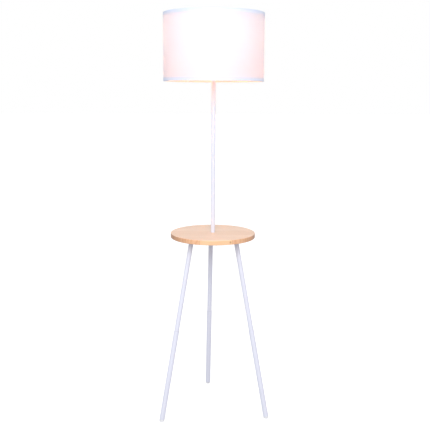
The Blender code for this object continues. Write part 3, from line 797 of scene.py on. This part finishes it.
def bracket_mesh(side, place):
    """A pressed plate with a boss that flares into it."""
    low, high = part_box("leg_bracket_" + side)
    centre = (low + high) / 2.0
    top = high.z
    bottom = top - PLATE_THICKNESS
    rim = (high.y - low.y) / 2.0
    plate_outline = [(0.0, bottom), (rim, bottom), (rim, top), (0.0, top)]
    plate = turned("plate", softened(plate_outline, 1.0 * MM, 4), 64)
    plate.transform(Matrix.Translation((centre.x, centre.y, 0.0)))
    plate.transform(place.inverted())

    _, tube_top, tube_radius = reach("leg_upper_" + side, place.translation, place.col[2].to_3d())
    start = tube_top + CLEARANCE
    wide = tube_radius + BOSS_WALL
    flared = wide + BOSS_FLARE
    lean = math.acos(place.col[2].z)
    inside = (top - PLATE_THICKNESS * 0.6) / math.cos(lean)
    outline = [(0.0, start), (wide - 0.6 * MM, start), (wide, start + 0.6 * MM)]
    steps = 6
    for step in range(steps + 1):
        turn = math.pi / 2.0 * step / steps
        outline.append((flared - BOSS_FLARE * math.cos(turn), inside - BOSS_FLARE * (1.0 - math.sin(turn))))
    outline += [(flared, inside + 0.3 * MM), (0.0, inside + 0.3 * MM)]
    boss = turned("boss", outline, 48)
    level_from = start + 1.0 * MM
    for vertex in boss.vertices:
        share = max(0.0, min(1.0, (vertex.co.z - level_from) / (inside - level_from)))
        vertex.co.z -= vertex.co.x * math.tan(lean) * share
    return combined(plate, boss, "UNION")


def screw_mesh(low, high, radius):
    """A pan head with a cross recess, its head down."""
    shank = radius * 0.55
    seat = low + 2.0 * MM
    outline = [(0.0, low)]
    for step in range(1, 6):
        turn = math.pi / 2.0 * step / 5
        outline.append((radius * math.sin(turn), low + 1.5 * MM * (1.0 - math.cos(turn))))
    outline += [(radius, seat), (shank, seat), (shank, high - 2.0 * MM), (0.0, high)]
    head = turned("screw_head", outline, 32)
    arm, width, depth = radius * 0.62, radius * 0.17, 1.1 * MM
    cutter = bpy.data.meshes.new("cross")
    points, faces = [], []
    for along, across in ((arm, width), (width, arm)):
        first = len(points)
        for level, scale in ((low - 1.0 * MM, 1.15), (low + depth, 0.55)):
            for sign_x, sign_y in ((-1, -1), (1, -1), (1, 1), (-1, 1)):
                points.append((sign_x * along * scale, sign_y * across * scale, level))
        ring = [first + number for number in range(8)]
        faces += [(ring[3], ring[2], ring[1], ring[0]), (ring[4], ring[5], ring[6], ring[7])]
        for edge in range(4):
            after = (edge + 1) % 4
            faces.append((ring[edge], ring[after], ring[4 + after], ring[4 + edge]))
    cutter.from_pydata(points, [], faces)
    return combined(head, cutter, "DIFFERENCE")


def make_legs():
    middle = sum(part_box("bracket_screw_a_left"), Vector()) / 2.0
    low, high, radius = reach("bracket_screw_a_left", middle)
    screw = screw_mesh(middle.z + low, middle.z + high, radius)
    for side in ("left", "right", "back"):
        place = leg_place(side)
        up = place.col[2].to_3d()
        for part in ("lower", "upper"):
            tube("leg_tube_" + part + "_" + side, "leg_" + part + "_" + side, place, up)
        make_foot(side, place, up)
        piece("leg_flange_" + side, bracket_mesh(side, place), "stand", "white_metal",
              ["leg_bracket_" + side], place)
        for letter in "abc":
            node = "bracket_screw_" + letter + "_" + side
            centre = sum(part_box(node), Vector()) / 2.0
            spot = Matrix.Translation((centre.x, centre.y, 0.0))
            piece("cross_screw_" + letter + "_" + side, screw.copy(), "stand", "zinc_steel", [node], spot)


def make_foot(side, place, up):
    """The end plug: a soft-edged flange, level underneath, with a narrower neck inside the tube."""
    high, wide = reach("foot_" + side, place.translation, up)[1:]
    tube_low, _, tube_radius = reach("leg_lower_" + side, place.translation, up)
    lean = math.acos(up.z)
    flange_top = tube_low - CLEARANCE
    wide = min(wide, tube_radius - 0.2 * MM)
    neck = wide * 0.83
    outline = [(0.0, 0.0), (wide, 0.0), (wide, flange_top), (neck, flange_top), (neck, high), (0.0, high)]
    mesh = turned("foot_plug_" + side, softened(outline, 1.2 * MM, 4), TUBE_SIDES)
    for vertex in mesh.vertices:
        share = max(0.0, 1.0 - vertex.co.z / FOOT_TRIM)
        vertex.co.z -= vertex.co.x * math.tan(lean) * share
    piece("foot_plug_" + side, mesh, "stand", "white_plastic", ["foot_" + side], place)


# ---------------------------------------------------------------- lampholder and bulb

def waves(crest, root, low, high, count, steps=6):
    """Outline points of a rounded screw thread, from low to high."""
    points = []
    for step in range(count * steps + 1):
        share = step / steps
        middle, swing = (crest + root) / 2.0, (crest - root) / 2.0
        radius = middle - swing * math.cos(2.0 * math.pi * share)
        points.append((radius, low + (high - low) * share / count))
    return points


def make_holder():
    low, high, radius = reach("holder_cap")
    wall = 1.6 * MM
    neck = reach("pole_top_nipple")[2] + CLEARANCE
    cap = [
        (neck, low), (radius * 0.47, low), (radius * 0.82, low + 3.7 * MM), (radius, low + 10.7 * MM),
        (radius, high), (radius - wall, high), (radius - wall, low + 11.1 * MM),
        (radius * 0.77, low + 5.5 * MM), (radius * 0.45, low + 2.0 * MM), (neck, low + 2.0 * MM),
    ]
    piece("holder_cup", turned("holder_cup", softened(cap, 2.5 * MM, 5), 64), "stand",
          "white_plastic", ["holder_cap"])

    # The sleeve's skirt is as wide as the cup that it screws into
    skirt = radius
    low, high, flange = reach("holder_sleeve")
    flange_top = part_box("fitter_ring")[0].z - CLEARANCE
    sleeve = [(SLEEVE_BORE, low), (skirt, low), (skirt, low + 1.7 * MM), (flange, flange_top - 2.0 * MM),
              (flange, flange_top), (SLEEVE_ROOT, flange_top)]
    # Half of the first corner's rounding goes, because the bore's own lower corner is sharp
    sleeve = softened(sleeve, 0.6 * MM)[2:]
    sleeve += waves(SLEEVE_CREST, SLEEVE_ROOT, flange_top + 1.0 * MM, high - 3.0 * MM, SLEEVE_TURNS)
    sleeve += [(SLEEVE_ROOT - 0.4 * MM, high - 0.5 * MM), (SLEEVE_ROOT - 1.0 * MM, high),
               (SLEEVE_BORE, high), (SLEEVE_BORE, low)]
    piece("holder_threaded_sleeve", turned("holder_threaded_sleeve", sleeve, 64), "stand",
          "white_plastic", ["holder_sleeve"])


def make_clamp_ring():
    low, high, radius = reach("shade_clamp_ring")

    def gripped(out, height, angle):
        if out < radius - 2.0 * MM:
            return out
        return out - GRIP_DEPTH * (0.5 - 0.5 * math.cos(CLAMP_GRIPS * angle)) ** 2

    corners = [(CLAMP_BORE, low), (radius, low), (radius, high), (CLAMP_BORE, high)]
    outline = softened(corners, 0.8 * MM)
    piece("clamp_ring_grip", turned("clamp_ring_grip", outline, 240, gripped), "clamp_ring",
          "white_plastic", ["shade_clamp_ring"])


def make_bulb():
    low, high, radius = reach("bulb_cap")
    inner = radius * 0.77
    collar = radius - 0.1 * MM
    # The cap's foot closes in round the centre contact
    eye = reach("bulb_contact")[2] + 0.4 * MM
    cap = [
        (eye, low), (inner * 0.9, low + 1.0 * MM), (radius * 0.80, low + 2.1 * MM),
        *waves(radius, radius - CAP_THREAD_DEPTH, low + 4.0 * MM, high - 4.0 * MM, CAP_TURNS),
        (collar, high - 2.5 * MM), (collar, high), (inner, high),
        (inner, low + 4.0 * MM), (inner * 0.8, low + 2.6 * MM), (eye, low + 0.9 * MM),
    ]
    piece("bulb_screw_cap", turned("bulb_screw_cap", cap, 48), "bulb", "cap_metal", ["bulb_cap"])

    low, high, wide = reach("bulb_housing")
    globe_low, globe_high, globe_radius = reach("bulb_globe")
    collar = low + 6.8 * MM
    housing = [
        (wide * 0.33, low), (wide * 0.38, low), (wide * 0.38, collar), (wide * 0.452, collar),
        (wide * 0.50, collar + 3.2 * MM), (wide * 0.736, collar + 18.2 * MM),
        (wide * 0.965, high - 3.0 * MM), (wide, high - 0.5 * MM), (wide, high),
        (wide * 0.955, high), (wide * 0.93, high - 3.0 * MM), (wide * 0.70, collar + 18.8 * MM),
        (wide * 0.45, collar + 4.0 * MM), (wide * 0.33, collar + 1.0 * MM),
    ]
    piece("bulb_cone", turned("bulb_cone", softened(housing, 1.5 * MM, 4), 64), "bulb",
          "white_plastic", ["bulb_housing"])

    widest = globe_high - GLOBE_RISE
    first = math.asin((globe_low - widest) / globe_radius)
    outside, inside = [], []
    steps = 20
    for step in range(steps + 1):
        angle = first + (math.pi / 2.0 - first) * step / steps
        stretch = GLOBE_RISE if angle > 0.0 else globe_radius
        across = 0.0 if step == steps else math.cos(angle)
        out, along = globe_radius - GLOBE_WALL, stretch - GLOBE_WALL
        outside.append((globe_radius * across, widest + stretch * math.sin(angle)))
        inside.append((out * across, widest + along * math.sin(angle)))
    inside[0] = (inside[0][0], globe_low)
    mesh = turned("bulb_dome", outside + inside[::-1], 64)
    piece("bulb_dome", mesh, "bulb", "bulb_opal", ["bulb_globe"])


# ---------------------------------------------------------------- shade

def make_shade():
    low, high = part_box("shade_fabric")[0].z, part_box("shade_fabric")[1].z
    outer = (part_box("shade_fabric")[1].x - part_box("shade_fabric")[0].x) / 2.0
    liner = frame["nodes"]["shade_liner"].data.vertices
    inner = min((vertex.co - AXIS).to_2d().length for vertex in liner)
    height = high - low
    steps = range(DRUM_ROWS + 1)
    walls = [(outer, low + height * step / DRUM_ROWS) for step in steps]
    walls += [(inner, high - height * step / DRUM_ROWS) for step in steps]
    mesh = turned("shade_drum", walls, SHADE_SIDES)
    drum = piece("shade_drum", mesh, "shade", "shade_fabric", ["shade_fabric", "shade_liner"],
                 finishes=[FINISH["shade_fabric"], FINISH["shade_liner"]])
    middle = (inner + outer) / 2.0
    for face in mesh.polygons:
        centre = face.center.to_2d().length
        face.material_index = 1 if centre < middle else 0
    make_seam(low + LAP_END, high - LAP_END, outer)
    make_tapes()
    make_frame()


def make_seam(low, high, radius):
    """The cloth's lap at the back of the shade, one more layer of the laminate."""
    columns, rows = LAP_COLUMNS, DRUM_ROWS
    span = LAP_WIDTH / radius
    points, faces = [], []
    for layer in (0.05 * MM, 0.30 * MM):
        for row in range(rows + 1):
            height = low + (high - low) * row / rows
            for column in range(columns + 1):
                angle = math.pi / 2.0 + span * (column / columns - 0.5)
                thinned = 1.0 if 0 < column < columns else 0.45
                out = radius + layer * thinned
                points.append((out * math.cos(angle), out * math.sin(angle), height))
    wide = columns + 1
    sheet = wide * (rows + 1)
    for row in range(rows):
        for column in range(columns):
            a = row * wide + column
            quad = (a, a + wide, a + wide + 1, a + 1)
            faces.append(quad)
            faces.append(tuple(sheet + number for number in quad[::-1]))
    rim = list(range(wide))
    rim += [row * wide + columns for row in range(1, rows + 1)]
    rim += [rows * wide + column for column in range(columns - 1, -1, -1)]
    rim += [row * wide for row in range(rows - 1, 0, -1)]
    for a, b in zip(rim, rim[1:] + rim[:1]):
        faces.append((a, b, sheet + b, sheet + a))
    mesh = bpy.data.meshes.new("shade_seam")
    mesh.from_pydata(points, [], faces)
    layer = mesh.uv_layers.new(name="turned")
    for loop, entry in zip(mesh.loops, layer.data):
        spot = mesh.vertices[loop.vertex_index].co
        entry.uv = (math.atan2(spot.y, spot.x) * radius, spot.z)
    lap_cloth = shade_cloth("shade_lap_cloth", LAP_SHARE, LAP_PASSES, LAP_PAINTED_FOOT_GLOW)
    piece("shade_seam", mesh, "shade", "shade_fabric", finishes=[lap_cloth])


def make_tapes():
    """The edging tape, folded round the rim wire at the bottom and the top."""
    low, high, radius = reach("shade_trim_bottom")
    _, wire_high, wire_reach = reach("shade_ring_bottom")
    outer = radius - TAPE_THICKNESS / 2.0
    bottom = low + TAPE_THICKNESS / 2.0
    over_wire = wire_high + 0.4 * MM
    inside_wire = wire_reach - 2.0 * RIM_WIRE_RADIUS - 0.5 * MM
    inner_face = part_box("shade_liner")[1].x - 1.0 * MM
    path = [
        (outer, high), (outer, bottom), (inside_wire, bottom), (inside_wire, over_wire),
        (inner_face, over_wire + 1.2 * MM), (inner_face, low + TAPE_INSIDE),
    ]
    strip = ribbon(softened(path, TAPE_BEND, 6, closed=False), TAPE_THICKNESS)
    top_high = reach("shade_trim_top")[1]
    flipped = [(out, top_high - (height - low)) for out, height in strip]
    for end, outline in (("bottom", strip), ("top", flipped)):
        name = "shade_tape_" + end
        piece(name, turned(name, outline, SHADE_SIDES), "shade", "shade_trim", ["shade_trim_" + end])


def make_frame():
    """The fitter's flat ring and its three wire arms, welded to the ring and to the rim wire."""
    low, high, radius = reach("fitter_ring")
    corners = [(FITTER_BORE, low), (radius, low), (radius, high), (FITTER_BORE, high)]
    outline = softened(corners, 0.5 * MM)
    piece("fitter_disc", turned("fitter_disc", outline, 72), "shade", "white_wire", ["fitter_ring"])

    ring_low, ring_high, ring_reach = reach("shade_ring_bottom")
    start_height = (low + high) / 2.0
    end_height = (ring_low + ring_high) / 2.0 + 0.6 * MM
    wire_circle = ring_reach - RIM_WIRE_RADIUS
    inner, outer = radius, wire_circle - 2.2 * MM
    path = [
        (inner - 1.5 * MM, start_height), (inner + 7.0 * MM, start_height),
        (inner + 11.0 * MM, start_height - 1.0 * MM), (outer - 12.0 * MM, end_height + 2.2 * MM),
        (outer - 7.0 * MM, end_height), (wire_circle - 0.8 * MM, end_height),
    ]
    smooth = softened(path, 3.0 * MM, 5, closed=False)
    for letter, heading in (("a", 0.0), ("b", 120.0), ("c", 240.0)):
        mesh = fitter_wire("fitter_wire_" + letter, [(out, 0.0, up) for out, up in smooth])
        place = ON_AXIS @ Matrix.Rotation(math.radians(heading), 4, "Z")
        piece("fitter_wire_" + letter, mesh, "shade", "white_wire", ["fitter_arm_" + letter], place)


def dress_remaining_nodes():
    """Give every CAD node that stays visible its finish."""
    for entry in frame["record"]["subparts"]:
        node = frame["nodes"][entry["node"]]
        if node.hide_render:
            continue
        if not node.material_slots:
            node.data.materials.append(None)
        for holder in node.material_slots:
            holder.material = FINISH[entry["material_slot"]]


make_camera()
make_studio()
make_pole()
make_tray()
make_tray_fastening()
make_legs()
make_holder()
make_clamp_ring()
make_bulb()
make_shade()
dress_remaining_nodes()
